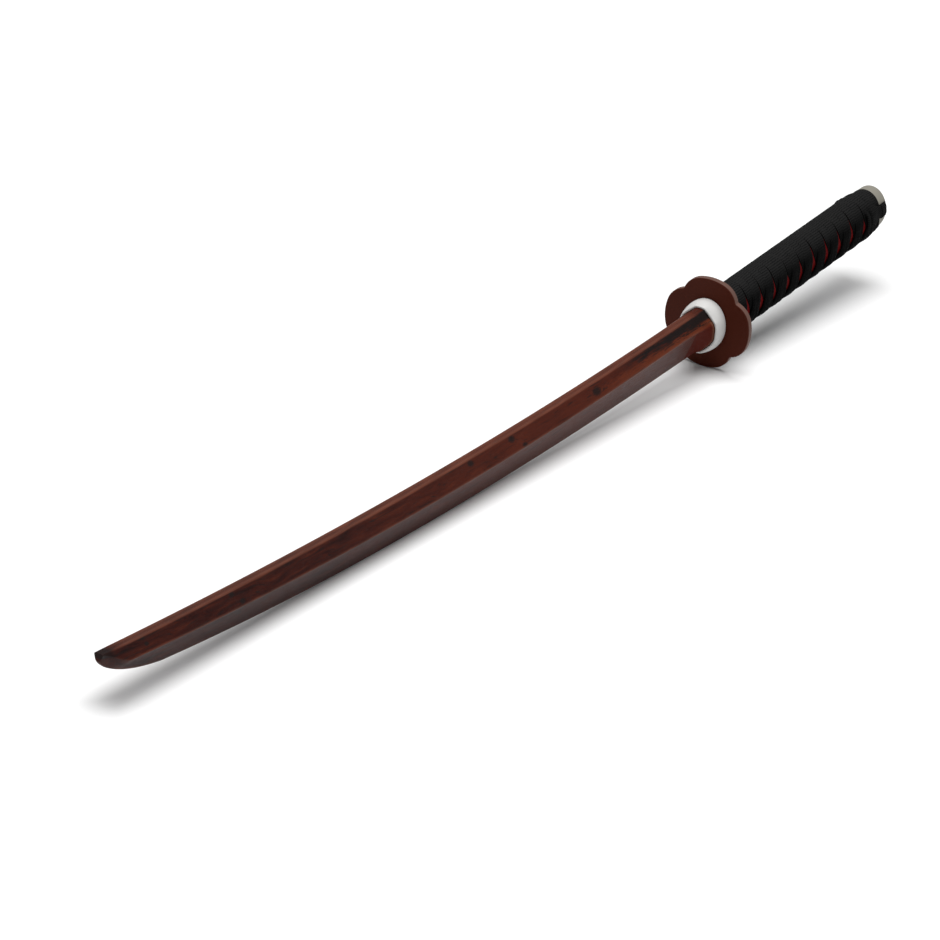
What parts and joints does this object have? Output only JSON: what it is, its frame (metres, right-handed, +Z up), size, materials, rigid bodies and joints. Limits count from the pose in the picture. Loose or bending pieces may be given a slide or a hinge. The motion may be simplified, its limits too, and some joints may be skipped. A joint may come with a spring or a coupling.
{
  "type": "wooden practice sword",
  "caption": "Curved hardwood practice sword with a four-lobed hand guard, a white stopper ring and a handle bound in flat black cord over red side panels.",
  "frame": {"origin": "middle of the sword's length and thickness, on the surface that it lies on", "axes": "+X along the sword towards its point, +Z up with the cutting edge down, +Y towards the sword's left side"},
  "size_m": [1.0158, 0.0674, 0.0739],
  "materials": {
    "hardwood": "satin oiled, dark streaks along the grain",
    "guard_plastic": "satin, soft sheen",
    "ring_rubber": "smooth, satin",
    "red_cloth": "matte woven",
    "black_cotton": "ribbed flat braid, matte",
    "cap_plastic": "matte"
  },
  "bodies": {
    "sword": {"hardwood_body": "hardwood", "side_panel_left": "red_cloth", "side_panel_right": "red_cloth", "binding_cord_first_run": "black_cotton", "binding_cord_second_run": "black_cotton", "end_knot_left": "black_cotton", "end_knot_right": "black_cotton", "pommel_cap": "cap_plastic"},
    "guard": {"hand_guard": "guard_plastic"},
    "ring": {"stopper_ring": "ring_rubber"}
  },
  "joints": [
    {"name": "guard_slides_off", "type": "hinge", "parent": "sword", "child": "guard", "pos_m": [0.18854, 0, 5.21945], "axis": [0, -1, 0], "range_deg": [0, 8.7]},
    {"name": "ring_slides_off", "type": "hinge", "parent": "guard", "child": "ring", "pos_m": [0.18854, 0, 5.21945], "axis": [0, -1, 0], "range_deg": [0, 8.6]}
  ]
}
